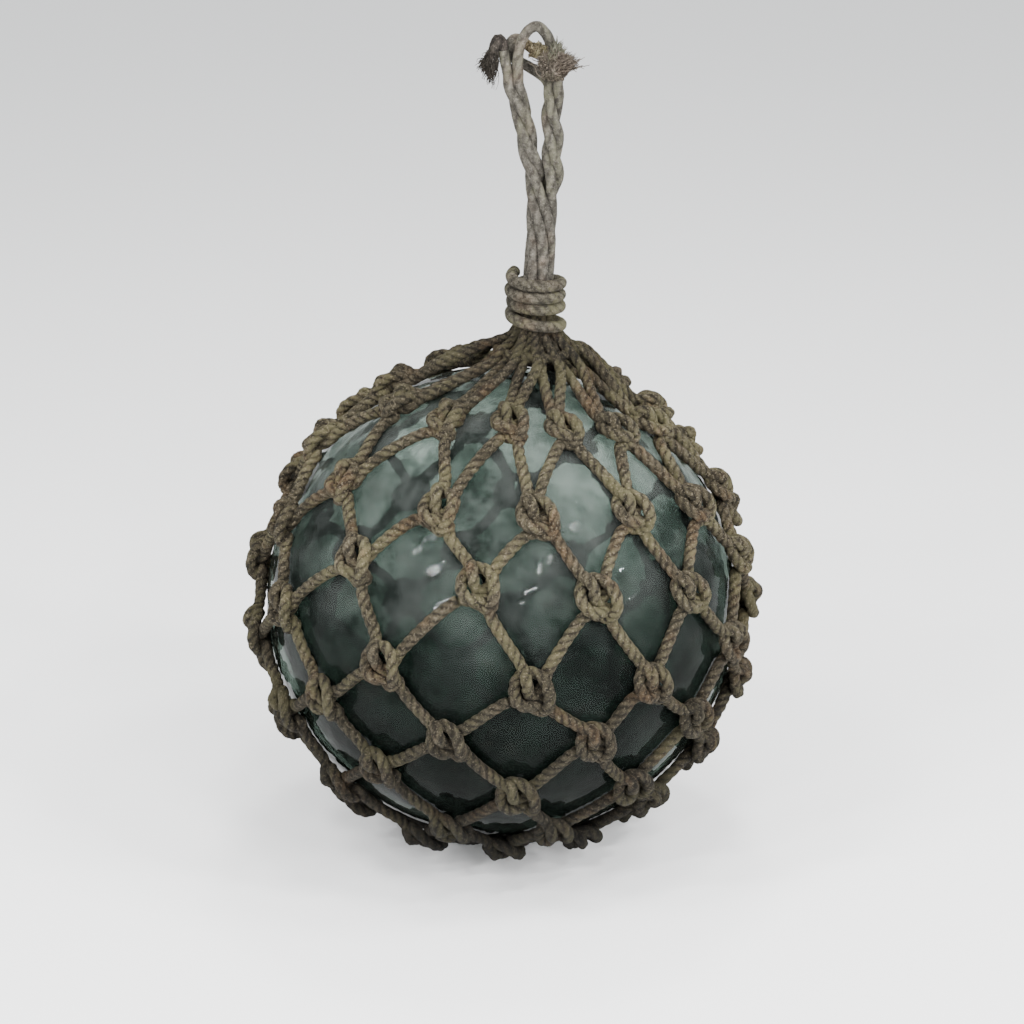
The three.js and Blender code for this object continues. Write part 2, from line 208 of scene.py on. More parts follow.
def sea_green_glass(name, see_through, clear, hazy, wavy):
    """Clear sea green glass, darker towards the bottom as painted shade, with clouded, streaked and dirty
    places.
    """
    material = bpy.data.materials.new(name)
    material.use_nodes = True
    n = Nodes(material.node_tree)
    place = n.add("ShaderNodeTexCoord").outputs["Object"]
    rise = n.add("ShaderNodeSeparateXYZ", {"Vector": place}).outputs["Z"]
    # Painted shade: the glass darkens towards the bottom.
    painted_shade_level = n.stretched(rise, GLASS_SHADE_DARKEST_BELOW, GLASS_SHADE_ENDS_ABOVE, -0.5, 0.5)
    cloud = n.math("MULTIPLY", n.noise(place, 38.0, 5.0, 0.6), 0.7)
    cloud = n.math("ADD", n.noise(place, 9.0, 4.0, 0.55), cloud)
    tint = n.ramp(
        n.math("ADD", painted_shade_level, n.math("MULTIPLY", cloud, 0.55)),
        [
            (0.12, (0.030, 0.046, 0.037)), (0.40, (0.088, 0.117, 0.103)),
            (0.66, (0.26, 0.296, 0.277)), (0.92, (0.4, 0.45, 0.42)),
        ],
    )
    blotch = n.ramp(
        n.noise(place, 24.0, 7.0, 0.7),
        [(0.41, (0.28, 0.34, 0.31)), (0.48, (0.92, 0.96, 0.94)), (0.58, (1.45, 1.43, 1.43))],
    )
    tint = n.mix(0.9, tint, blotch, "MULTIPLY")
    rim = n.add("ShaderNodeLayerWeight", {"Blend": 0.5}).outputs["Facing"]
    tint = n.mix(n.math("MULTIPLY", n.math("POWER", rim, 1.8), 0.9), tint, (0.05, 0.063, 0.054))
    grubby = n.ramp(n.noise(place, 45.0, 6.0, 0.7), [(0.55, 0.0), (0.68, 1.0)])
    tint = n.mix(n.math("MULTIPLY", grubby, 0.3), tint, (0.16, 0.16, 0.135))
    dust = n.math("MULTIPLY", n.ramp(n.noise(place, 400.0, 1.0), [(0.68, 0.0), (0.74, 1.0)]), grubby)
    tint = n.mix(n.math("MULTIPLY", dust, 0.5), tint, (0.34, 0.34, 0.31))
    rough = n.ramp(n.noise(place, 22.0, 5.0, 0.6), [(0.45, clear), (0.75, hazy)])
    ripples = n.math("MULTIPLY", n.noise(place, 85.0, 1.0), 0.26)
    waves = n.math("ADD", n.noise(place, 14.0, 2.0), ripples)
    bump = n.add("ShaderNodeBump", {"Strength": wavy, "Distance": 0.003, "Height": waves})
    shader = n.add(
        "ShaderNodeBsdfPrincipled",
        {
            "Base Color": tint,
            "Roughness": rough,
            "Metallic": 0.0,
            "Transmission Weight": see_through,
            "IOR": GLASS_INDEX,
            "Normal": bump.outputs["Normal"],
        },
    )
    n.add("ShaderNodeOutputMaterial", {"Surface": shader.outputs["BSDF"]})
    return material


ball_points, ball_faces, outer_count = blown_ball()
glass = new_piece("glass_float", ball_points, ball_faces)
dress(
    glass, "glass", "glass_ball",
    sea_green_glass("sea_green_glass", see_through=0.93, clear=0.008, hazy=0.07, wavy=0.6),
    sea_green_glass("sea_green_glass_inside", see_through=1.0, clear=0.04, hazy=0.13, wavy=0.5),
)
wall_of_face = (np.arange(len(ball_faces)) >= outer_count).astype(np.int32)
glass.data.polygons.foreach_set("material_index", wall_of_face)

# The net
#
# One net of three-strand laid rope, 7 to 8 mm thick where it is drawn tight, and weathered grey brown.
# Each round hangs in bights through the round below, each caught in a ring knot of that round's rope.

NET_ROPE = 0.0075
COLUMNS = 12
NET_LEAN = np.radians(6.5)
LEAN_ENDS_FROM, LEAN_ENDS_AT = 125, 165
# In degrees, apart from SLACK_ROW and LAST_SLACK, which count rows.
ROW_ANGLES = (32.9, 53.2, 68.4, 85.1, 96.9, 109.4, 122, 138)
ROW_TILT, ROW_SLACK, SLACK_ROW, LAST_SLACK = 1.5, 3.1, 3, 3
COLUMN_SHIFT, COLUMN_SPREAD, COLUMN_SKEW = 4.8, 1.7, 1.5
KNOT_WANDER = 1.2
# Laid rope: one turn of its lay in diameters, its grooves and lumps in radii, its steps in diameters.
LAY_PITCH = 2.4
GROOVE = 0.135
ROUGHNESS_OF_SKIN = 0.012
COLUMNS_ROUND_ROPE = 18
STEP_ALONG_ROPE = 0.18
CURVE_STEPS = 24

# One knot, in rope diameters from its middle: right, up towards the neck, and height above the glass.
# The bight of the round above comes over the ring from the upper left and goes back under it.
BIGHT = (
    (-0.95, 1.5, 1.25), (-0.72, 1.0, 1.66), (-0.52, 0.5, 1.5), (-0.38, 0.0, 1.12), (-0.04, -0.38, 0.88),
    (0.42, -0.28, 0.7), (0.74, 0.15, 0.58), (0.98, 0.8, 0.5),
)
# The round's own rope passes behind from the lower left, turns up over the right side, round the top
# and down the left side, and leaves under its own turn to the lower right.
RING = (
    (-0.45, -1.42, 0.5), (0.35, -1.55, 0.52), (1.0, -1.72, 0.78), (1.46, -1.25, 1.22),
    (1.48, -0.55, 1.5), (1.34, 0.15, 1.52), (0.98, 0.95, 1.32), (0.35, 1.5, 1.0), (-0.45, 1.62, 0.74),
    (-1.12, 1.25, 0.62), (-1.5, 0.6, 0.82), (-1.46, -0.3, 1.1), (-1.02, -1.0, 1.32), (-0.25, -1.24, 1.36),
    (0.5, -1.12, 1.02), (1.1, -0.9, 0.6), (1.58, -1.12, 0.5),
)
# Where the four legs of a knot have left it: how far towards the next knot, and how high.
UPPER_LEFT_LEG, UPPER_RIGHT_LEG = (2.35, 0.7), (1.95, 0.5)
LOWER_LEFT_LEG, LOWER_RIGHT_LEG = (2.1, 0.5), (2.35, 0.5)
# How far a leg that runs to the neck, or to the coil underneath, turns aside for each column.
NECK_LEG_ASIDE, COIL_LEG_ASIDE = 0.18, 0.3
# The knots of the two upper rounds are pulled narrower, by this share for each round.
KNOT_NARROWING = 0.09


def direction(polar, azimuth):
    """Unit direction of a place in the net's frame, in degrees, its pole leaning to +X above.

    The lean turns the direction about Y and fades out from LEAN_ENDS_FROM to LEAN_ENDS_AT.
    """
    t = np.clip((polar - LEAN_ENDS_FROM) / (LEAN_ENDS_AT - LEAN_ENDS_FROM), 0, 1)
    lean = NET_LEAN * (1 - t * t * (3 - 2 * t))
    p, a = np.radians(polar), np.radians(azimuth)
    x, y, z = np.sin(p) * np.sin(a), -np.sin(p) * np.cos(a), np.cos(p)
    return np.array([x * np.cos(lean) + z * np.sin(lean), y, z * np.cos(lean) - x * np.sin(lean)])


def knot_place(row, column):
    """Polar angle and azimuth of a knot: half-column steps from row to row, uneven as it was tied."""
    even = 360 / COLUMNS * (column - (0.5 if row % 2 == 0 else 0))
    side, front = np.sin(np.radians(even)), np.cos(np.radians(even))
    below = min(row - SLACK_ROW, LAST_SLACK)
    azimuth = even + COLUMN_SPREAD * side + COLUMN_SHIFT * front + COLUMN_SKEW * below * side
    polar = ROW_ANGLES[row] + ROW_TILT * (front - 0.6 * side) + ROW_SLACK * below * front * front
    wander = KNOT_WANDER * np.sin(2.3 * row + 1.7 * column)
    return polar + wander, azimuth + 2 * wander * np.cos(1.9 * row + 2.7 * column)


def knot_frame(row, column):
    """A knot's outward, upward and rightward directions, as seen from outside the ball."""
    polar, azimuth = knot_place(row, column)
    out = direction(polar, azimuth)
    up = direction(polar - 1, azimuth)
    up = up - up.dot(out) * out
    up /= np.linalg.norm(up)
    return out, up, np.cross(up, out)


def on_glass(frame_of_knot, places, turn, size):
    """Points beside a knot: in the direction of out * radius + right * u + up * v, at radius + height."""
    out, up, right = frame_of_knot
    u, v, height = np.array(places).T * NET_ROPE
    u, v = size * (u * np.cos(turn) - v * np.sin(turn)), size * (u * np.sin(turn) + v * np.cos(turn))
    line = out * GLASS_RADIUS + u[:, None] * right + v[:, None] * up
    line /= np.linalg.norm(line, axis=1, keepdims=True)
    return ball_centre + line * (GLASS_RADIUS + height[:, None])


def smooth_route(places, step, closed=False):
    """Evenly spaced points on the smooth curve through the places.

    Each stretch is a cubic in t, where t grows by the root of each stretch's length. The slope at a place
    is the mean of the slopes of the two stretches beside it, the shorter stretch counting more.
    """
    places = np.asarray(places, dtype=float)
    if closed:
        around = np.vstack([places[-1:], places, places[:2]])
    else:
        around = np.vstack([2 * places[:1] - places[1:2], places, 2 * places[-1:] - places[-2:-1]])
    span = np.linalg.norm(np.diff(around, axis=0), axis=1, keepdims=True) ** 0.5
    slope = np.diff(around, axis=0) / span
    mean = (slope[:-1] * span[1:] + slope[1:] * span[:-1]) / (span[:-1] + span[1:])
    start, end, width = around[1:-2, None], around[2:-1, None], span[1:-1, None]
    start_slope, end_slope = mean[:-1, None] * width, mean[1:, None] * width
    t = (np.arange(CURVE_STEPS) / CURVE_STEPS)[None, :, None]
    curve = (
        (2 * t**3 - 3 * t**2 + 1) * start + (t**3 - 2 * t**2 + t) * start_slope
        + (3 * t**2 - 2 * t**3) * end + (t**3 - t**2) * end_slope
    )
    curve = np.vstack([curve.reshape(-1, 3), places[:1] if closed else places[-1:]])
    lengths = np.concatenate([[0], np.cumsum(np.linalg.norm(np.diff(curve, axis=0), axis=1))])
    count = max(int(round(lengths[-1] / step)), 4)
    at = np.linspace(0, lengths[-1], count + 1)
    route = np.stack([np.interp(at, lengths, curve[:, k]) for k in range(3)], axis=1)
    return route[:-1] if closed else route


def off_the_glass(route, least):
    """The route with each point pushed out from the ball's centre to at least this far above the glass."""
    line = route - ball_centre
    reach = np.linalg.norm(line, axis=1, keepdims=True)
    return ball_centre + line / reach * np.maximum(reach, GLASS_RADIUS + least)


def wobble(along, seed):
    """A slow random-looking wave along a rope, from about -1 to 1: three sines of unlike lengths."""
    a, b, c = np.random.default_rng(seed).uniform(0, 2 * np.pi, 3)
    return 0.5 * np.sin(along * 71 + a) + 0.3 * np.sin(along * 173 + b) + 0.2 * np.sin(along * 407 + c)


def laid_rope(route, outward, diameter, seed, closed=False, taper=None, turn_pitch=LAY_PITCH, groove=GROOVE):
    """A three-strand rope along a route, as points, triangles, two texture lengths and the strand height.

    At distance s along and angle a round the strands, the skin stands off the middle by
    r = radius * (1 - groove + groove * cos(1.5 * (a from the nearest strand's crown)) + small lumps),
    in the direction cos(w) * N + sin(w) * B with w = a + 2 pi s / (pitch * diameter).
    """
    ahead = np.roll(route, -1, axis=0) if closed else np.vstack([route[1:], 2 * route[-1:] - route[-2:-1]])
    behind = np.roll(route, 1, axis=0) if closed else np.vstack([2 * route[:1] - route[1:2], route[:-1]])
    tangent = ahead - behind
    tangent /= np.linalg.norm(tangent, axis=1, keepdims=True)
    normal = outward - (outward * tangent).sum(1, keepdims=True) * tangent
    normal /= np.linalg.norm(normal, axis=1, keepdims=True)
    binormal = np.cross(tangent, normal)
    spacing = np.linalg.norm(np.diff(route, axis=0), axis=1).mean()
    along = np.arange(len(route)) * spacing
    length = len(route) * spacing
    turns = length / (turn_pitch * diameter)
    if closed:
        turns = round(turns * 3) / 3
    twist = 2 * np.pi * turns * along / length
    angle = 2 * np.pi * np.arange(COLUMNS_ROUND_ROPE + 1) / COLUMNS_ROUND_ROPE
    from_crown = (angle + np.pi / 3) % (2 * np.pi / 3) - np.pi / 3
    crown = np.cos(1.5 * from_crown)
    radius = diameter / 2 * (1 + 0.06 * wobble(along, seed))
    if taper is not None:
        radius = radius * taper
    depth = groove * (1 + 0.35 * wobble(along / 2, seed + 7))[:, None]
    lumps = (
        np.sin(along[:, None] * 1900 + 5 * angle[None, :] + seed)
        + np.sin(along[:, None] * 2900 - 4 * angle[None, :] + 2)
        + np.sin(along[:, None] * 1100 + 2 * angle[None, :] + 4)
    )
    skin = radius[:, None] * (1 - depth + depth * crown[None, :] + ROUGHNESS_OF_SKIN * lumps)
    world = angle[None, :] + twist[:, None]
    to_skin = np.cos(world)[..., None] * normal[:, None] + np.sin(world)[..., None] * binormal[:, None]
    points = (route[:, None] + skin[..., None] * to_skin)[:, :-1]
    count, around = points.shape[:2]
    rows = np.arange(count if closed else count - 1)
    i, j = np.meshgrid(rows, np.arange(around), indexing="ij")
    this_ring, next_ring, beside = i * around, (i + 1) % count * around, (j + 1) % around
    corners = [this_ring + j, this_ring + beside, next_ring + beside, next_ring + j]
    faces = np.stack(corners, axis=-1).reshape(-1, 4)
    turns_here = twist / (2 * np.pi)
    step_turn = np.diff(turns_here, append=turns_here[-1] + turns_here[1] - turns_here[0])
    u_here, u_beside = j / around + turns_here[i], (j + 1) / around + turns_here[i]
    u = np.stack([u_here, u_beside, u_beside + step_turn[i], u_here + step_turn[i]], axis=-1)
    v_here = along[i] / diameter
    v_next = v_here + spacing / diameter
    v = np.stack([v_here, v_here, v_next, v_next], axis=-1)
    uv = np.stack([u, v], axis=-1).reshape(-1, 4, 2)
    heights = np.tile(crown[:-1], count)
    points = points.reshape(-1, 3)
    if not closed:
        middle = np.vstack([route[0], route[-1]])
        ring = np.arange(around)
        start = np.stack([ring, np.full(around, len(points)), (ring + 1) % around], axis=-1)
        last = (count - 1) * around
        end = np.stack([last + (ring + 1) % around, np.full(around, len(points) + 1), last + ring], axis=-1)
        points = np.vstack([points, middle])
        heights = np.append(heights, [0.4, 0.4])
        caps = np.vstack([start, end])
        return points, faces, uv, heights, caps
    return points, faces, uv, heights, np.zeros((0, 3), dtype=int)


def rope_piece(name, ropes):
    """One piece from several laid ropes, with their texture lengths and strand heights."""
    first = 0
    points, faces, caps, uvs, heights = [], [], [], [], []
    for rope_points, rope_faces, rope_uv, rope_heights, rope_caps in ropes:
        points.append(rope_points)
        faces.append(rope_faces + first)
        caps.append(rope_caps + first)
        uvs.append(rope_uv)
        heights.append(rope_heights)
        first += len(rope_points)
    caps = np.vstack(caps)
    piece = new_piece(name, np.vstack(points), np.vstack(faces), caps)
    layer = piece.data.uv_layers.new(name="rope")
    flat = np.vstack([np.concatenate([uv.reshape(-1, 2) for uv in uvs]), np.zeros((3 * len(caps), 2))])
    layer.data.foreach_set("uv", flat.ravel())
    crown = piece.data.attributes.new("strand_height", "FLOAT", "POINT")
    crown.data.foreach_set("value", np.concatenate(heights))
    piece.data.update()
    return piece


def yarn_lines_group():
    """The yarns of laid rope: fine lines along it, as a height, worn away by noise.

    Height = 0.3 * (0.5 + 0.5 * sin(2 pi * (yarns * u + fray * noise))) + 1.1 * fine noise, where u
    counts turns round the rope.
    """
    group = bpy.data.node_groups.new("yarn_lines", "ShaderNodeTree")
    for name, way in (("Yarns", "INPUT"), ("Fray", "INPUT"), ("Height", "OUTPUT")):
        group.interface.new_socket(name, in_out=way, socket_type="NodeSocketFloat")
    n = Nodes(group)
    inputs = n.add("NodeGroupInput")
    outputs = n.add("NodeGroupOutput")
    uv = n.add("ShaderNodeUVMap", uv_map="rope").outputs["UV"]
    place = n.add("ShaderNodeTexCoord").outputs["Object"]
    split = n.add("ShaderNodeSeparateXYZ", {"Vector": uv})
    bend = n.math("MULTIPLY", n.noise(place, 420.0, 2.0), inputs.outputs["Fray"])
    turns = n.math("MULTIPLY", split.outputs["X"], inputs.outputs["Yarns"])
    phase = n.math("MULTIPLY", n.math("ADD", turns, bend), 2 * np.pi)
    line = n.math("MULTIPLY_ADD", n.math("SINE", phase), 0.5, 0.5)
    grain = n.noise(place, 620.0, 5.0, 0.75)
    height = n.math("ADD", n.math("MULTIPLY", line, 0.3), n.math("MULTIPLY", grain, 1.1))
    group.links.new(height, outputs.inputs["Height"])
    return group


yarn_lines = yarn_lines_group()


def lichen_group():
    """Where lichen and moss sit: patches of noise, stronger on the strands' crowns, as a mask from 0 to 1."""
    group = bpy.data.node_groups.new("lichen_patches", "ShaderNodeTree")
    for name, way in (("Scale", "INPUT"), ("Height", "INPUT"), ("Mask", "OUTPUT")):
        group.interface.new_socket(name, in_out=way, socket_type="NodeSocketFloat")
    n = Nodes(group)
    inputs = n.add("NodeGroupInput")
    outputs = n.add("NodeGroupOutput")
    place = n.add("ShaderNodeTexCoord").outputs["Object"]
    broad = n.noise(place, inputs.outputs["Scale"])
    fine = n.noise(place, 330.0, 3.0, 0.6)
    patch = n.math("ADD", n.math("MULTIPLY", broad, 1.3), n.math("MULTIPLY", fine, 0.7))
    high = n.math("MULTIPLY", inputs.outputs["Height"], 0.16)
    mask = n.stretched(n.math("ADD", patch, high), 1.1, 1.3)
    group.links.new(mask, outputs.inputs["Mask"])
    return group


lichen_patches = lichen_group()

# Painted shade makes the rope darkest at the first height and leaves it unchanged above the second. The rope
# is darker from the third height up to the fourth.
ROPE_SHADE_DARKEST_AT, ROPE_SHADE_ENDS_ABOVE = 0.01, 0.23
NECK_DARKENING_FROM, NECK_DARKEST_AT = 0.285, 0.335


def weathered_rope(
    name, groove_colour, mid_colour, crown_colour, moss_colour, moss_share,
    yarns=24.0, relief=0.42, mottling=2.0, flecks=0.3, rust=0.35, floor_shade=0.8, neck_darkening=0.0,
):
    """Weathered laid rope: dark in the grooves as painted shade, pale on the crowns from wear and as a
    painted highlight, mottled, with painted shade towards the bottom and darker near the neck.
    """
    material = bpy.data.materials.new(name)
    material.use_nodes = True
    n = Nodes(material.node_tree)
    place = n.add("ShaderNodeTexCoord").outputs["Object"]
    height = n.add("ShaderNodeAttribute", attribute_name="strand_height").outputs["Fac"]
    yarn = n.add("ShaderNodeGroup", {"Yarns": yarns, "Fray": 1.3}, node_tree=yarn_lines)
    mottle = n.math("MULTIPLY", n.noise(place, 360.0, 5.0, 0.75), 0.78)
    mottle = n.math("ADD", mottle, n.math("MULTIPLY", n.noise(place, 120.0, 3.0), 0.22))
    # Partly wear and partly painted light: darker in the strands' grooves as painted shade, paler on their
    # crowns as wear and painted highlight.
    wear_and_groove_shade = n.math("ADD", n.math("MULTIPLY", height, relief), n.math("MULTIPLY", yarn.outputs["Height"], 0.42))
    wear_and_groove_shade = n.math("ADD", wear_and_groove_shade, n.math("MULTIPLY", n.math("SUBTRACT", mottle, 0.6), mottling))
    colour = n.ramp(wear_and_groove_shade, [(0.05, groove_colour), (0.5, mid_colour), (1.05, crown_colour)])
    stain = n.ramp(n.noise(place, 24.0, 4.0, 0.6), [(0.32, (0.62, 0.59, 0.56)), (0.6, (1.0, 1.0, 1.0))])
    colour = n.mix(0.85, colour, stain, "MULTIPLY")
    warm = n.ramp(
        n.noise(place, 48.0, 3.0),
        [(0.40, (0.92, 1.0, 0.95)), (0.55, (1.0, 1.0, 0.96)), (0.7, (1.35, 0.98, 0.72))],
    )
    colour = n.mix(rust, colour, warm, "MULTIPLY")
    moss = n.add("ShaderNodeGroup", {"Scale": 36.0, "Height": height}, node_tree=lichen_patches)
    colour = n.mix(n.math("MULTIPLY", moss.outputs["Mask"], moss_share), colour, moss_colour)
    fleck = n.ramp(n.noise(place, 760.0, 2.0), [(0.58, 0.0), (0.68, 1.0)])
    colour = n.mix(n.math("MULTIPLY", fleck, flecks), colour, tuple(1.9 * c for c in crown_colour))
    rise = n.add("ShaderNodeSeparateXYZ", {"Vector": place}).outputs["Z"]
    # Painted shade: the rope darkens towards the floor.
    colour = n.mix(1.0, colour, n.stretched(rise, ROPE_SHADE_DARKEST_AT, ROPE_SHADE_ENDS_ABOVE, 1.0 - floor_shade, 1.0), "MULTIPLY")
    # The rope is darker towards the neck.
    colour = n.mix(1.0, colour, n.stretched(rise, NECK_DARKENING_FROM, NECK_DARKEST_AT, 1.0, 1.0 - neck_darkening), "MULTIPLY")
    rough = n.ramp(yarn.outputs["Height"], [(0.2, 0.96), (0.9, 0.82)])
    bump = n.add("ShaderNodeBump", {"Strength": 1.0, "Distance": 0.0022, "Height": yarn.outputs["Height"]})
    shader = n.add(
        "ShaderNodeBsdfPrincipled",
        {
            "Base Color": colour,
            "Roughness": rough,
            "Specular IOR Level": 0.2,
            "Normal": bump.outputs["Normal"],
        },
    )
    n.add("ShaderNodeOutputMaterial", {"Surface": shader.outputs["BSDF"]})
    return material


net_rope = weathered_rope(
    "net_rope", (0.022, 0.018, 0.012), (0.092, 0.076, 0.051), (0.205, 0.172, 0.119),
    (0.172, 0.158, 0.078), 0.42, relief=0.4, mottling=2.5, flecks=0.35, rust=0.6, floor_shade=0.9, neck_darkening=0.55,
)

knot_chance = np.random.default_rng(21)
knot_turns = knot_chance.uniform(-0.13, 0.13, (len(ROW_ANGLES), COLUMNS))
knot_sizes = knot_chance.uniform(0.78, 0.90, (len(ROW_ANGLES), COLUMNS))


def towards(row, column, other_row, other_column):
    """Unit right and up steps on a knot's own plane towards another knot, the neck or the coil."""
    out, up, right = knot_frame(row, column % COLUMNS)
    if other_row < 0:
        step = np.array([NECK_LEG_ASIDE * (other_column - column), 1.0])
    elif other_row >= len(ROW_ANGLES):
        step = np.array([COIL_LEG_ASIDE * (other_column - column), -1.0])
    else:
        gap = knot_frame(other_row, other_column % COLUMNS)[0] - out
        step = np.array([gap @ right, gap @ up])
    return step / np.linalg.norm(step)


def leg_place(aim, leg):
    """A knot's place beside it on the way of a leg: the aim times the leg's reach, at the leg's height."""
    return (*(aim * leg[0]), leg[1])


def knot_part(row, column, part):
    """The points of a knot's ring or bight on the ball, its legs starting towards their next knots."""
    above = (column - 1, column) if row % 2 == 0 else (column, column + 1)
    if part is BIGHT:
        if row == 0:
            above = (column - 1, column + 1)
        first = leg_place(towards(row, column, row - 1, above[0]), UPPER_LEFT_LEG)
        last = leg_place(towards(row, column, row - 1, above[1]), UPPER_RIGHT_LEG)
    else:
        below = above if row < len(ROW_ANGLES) - 1 else (column - 1, column + 1)
        first = leg_place(towards(row, column, row + 1, below[0]), LOWER_LEFT_LEG)
        last = leg_place(towards(row, column, row + 1, below[1]), LOWER_RIGHT_LEG)
    column %= COLUMNS
    turn, size = knot_turns[row, column], knot_sizes[row, column]
    narrow = 1 - KNOT_NARROWING * max(2 - row, 0)
    places = [first, *((narrow * u, v, height) for u, v, height in part), last]
    return on_glass(knot_frame(row, column), places, turn, size)


def right_below(row, column):
    """The column, in the row below, of the knot at the lower right."""
    return column + (0 if row % 2 == 0 else 1)


def net_round(row):
    """One round of the net: each ring knot of this row, then the bight in the knot at its lower right."""
    stretches = []
    for column in range(COLUMNS):
        stretches.append(knot_part(row, column, RING))
        stretches.append(knot_part(row + 1, right_below(row, column), BIGHT))
    places = off_the_glass(np.vstack(stretches), 0.5 * NET_ROPE)
    route = off_the_glass(smooth_route(places, STEP_ALONG_ROPE * NET_ROPE, closed=True), 0.5 * NET_ROPE)
    return laid_rope(route, route - ball_centre, NET_ROPE, seed=row, closed=True)


for pair in range(0, len(ROW_ANGLES) - 1, 2):
    rounds = [net_round(row) for row in range(pair, min(pair + 2, len(ROW_ANGLES) - 1))]
    dress(rope_piece("net_rounds_%d" % (pair // 2 + 1), rounds), "net_rope", "rope_net", net_rope)

# The net's top edge
#
# The first round's bights run up over the shoulder of the glass in pairs of ropes, off the glass near
# the neck, and crowd together into the whipping. A turn of cord gathers them below it.

NECK_RISE = 0.031
# The strands at the neck run in two layers that meet on the shoulder. How far each is above the neck, how far
# out from its axis, and how many degrees it has turned aside, from the whipping down to the shoulder.
UPPER_LAYER_RISE = (0.012, 0.0015, -0.0045, -0.0105, -0.0165)
UPPER_LAYER_REACH = (0.0095, 0.0115, 0.0165, 0.0232, 0.032)
LOWER_LAYER_RISE = (0.006, -0.004, -0.0095, -0.0155, -0.0215)
LOWER_LAYER_REACH = (0.009, 0.0125, 0.0175, 0.0245, 0.033)
STRAND_ASIDE = (-4, -2, 0, 2, 3)
STRAND_UNEVEN = 0.0015
# Some strands at the back left hang slack and stand off the glass, by these heights and shares of them.
SLACK_STRANDS = {8: 0.004, 9: 0.009}
SLACK_SHARES = (0, 0, 0.1, 0.4, 0.8)
# At the neck the whipping squeezes the ropes to this share of their thickness.
SQUEEZED_TO = 0.72
# The gathering turn: how far out, how far above the neck, and its share of the rope's thickness.
GATHERING_REACH, GATHERING_RISE, GATHERING_SHARE = 0.0225, -0.0125, 0.85
neck = ball_centre + (GLASS_RADIUS + NECK_RISE) * np.array([np.sin(NET_LEAN), 0, np.cos(NET_LEAN)])
neck_chance = np.random.default_rng(5)


def neck_place(azimuth, reach, rise):
    """A point round the neck's axis: azimuth in degrees from the front, reach out, rise above the neck."""
    a = np.radians(azimuth)
    return neck + np.array([np.sin(a) * reach, -np.cos(a) * reach, rise])


def neck_strand(column, side):
    """Places from the neck down to a first-row knot, in the upper layer for side 1, the lower for -1."""
    polar, azimuth = knot_place(0, column)
    azimuth += side * 360 / COLUMNS / 4
    rise = UPPER_LAYER_RISE if side > 0 else LOWER_LAYER_RISE
    reach = UPPER_LAYER_REACH if side > 0 else LOWER_LAYER_REACH
    slack = SLACK_STRANDS.get(column, 0.0)
    rise = rise + slack * np.array(SLACK_SHARES) + STRAND_UNEVEN * neck_chance.uniform(-1, 1, len(rise))
    steps = zip(STRAND_ASIDE, reach, rise)
    places = [neck_place(azimuth + side * aside, out, up) for aside, out, up in steps]
    if slack:
        half_way = direction(polar * 0.62, azimuth)
        places.append(ball_centre + half_way * (GLASS_RADIUS + slack * 1.1))
    return places


def top_bight(column):
    """One rope from the neck down, round as the bight of a first-row knot, and up again.

    Its thickness grows evenly from the squeezed share, 10 mm from the neck, to the whole, 60 mm from it.
    """
    places = neck_strand(column, -1) + list(knot_part(0, column, BIGHT)) + neck_strand(column, 1)[::-1]
    route = off_the_glass(smooth_route(places, STEP_ALONG_ROPE * NET_ROPE), 0.5 * NET_ROPE)
    free = np.clip(np.linalg.norm(route - neck, axis=1) / 0.05 - 0.2, 0, 1)
    squeezed = SQUEEZED_TO + (1 - SQUEEZED_TO) * free
    return laid_rope(route, route - ball_centre + [0, 0, 0.03], NET_ROPE, seed=100 + column, taper=squeezed)


gathering_places = [
    neck_place(angle, GATHERING_REACH + 0.001 * np.sin(np.radians(3 * angle)), GATHERING_RISE)
    for angle in range(0, 360, 30)
]
gathering_route = smooth_route(gathering_places, STEP_ALONG_ROPE * NET_ROPE, closed=True)
gathering_size = GATHERING_SHARE * NET_ROPE
gathering = laid_rope(gathering_route, gathering_route - neck, gathering_size, seed=77, closed=True)
top_ropes = [top_bight(column) for column in range(COLUMNS)]
dress(rope_piece("net_top_edge", top_ropes + [gathering]), "net_rope", "rope_net", net_rope)

# The net's closing coil
#
# Underneath, the last round's ropes run in to a small flat coil of the same rope, which closes the net.
# The float stands on it, so its lower side is pressed flat.

COIL_ROPE = 0.0092
COIL_REACH = 0.034
COIL_TURNS = 3.5
# The loop in to the coil: how far on towards the next knot, at which polar angle, and how many ropes high.
COIL_LOOP = ((0.3, 158, 0.5), (0.38, 164.5, 0.55), (0.62, 164.5, 0.55), (0.7, 158, 0.5))


def closing_bights():
    """The last round: each ring knot, then a loop of rope in to the coil and out to the next knot."""
    stretches = []
    last = len(ROW_ANGLES) - 1
    for column in range(COLUMNS):
        stretches.append(knot_part(last, column, RING))
        here = knot_place(last, column)[1]
        after = knot_place(last, (column + 1) % COLUMNS)[1]
        gap = (after - here) % 360
        for share, polar, height in COIL_LOOP:
            line = direction(polar, here + share * gap)
            stretches.append((ball_centre + line * (GLASS_RADIUS + height * NET_ROPE))[None])
    places = np.vstack(stretches)
    route = off_the_glass(smooth_route(places, STEP_ALONG_ROPE * NET_ROPE, closed=True), 0.48 * NET_ROPE)
    return laid_rope(route, route - ball_centre, NET_ROPE, seed=40, closed=True)


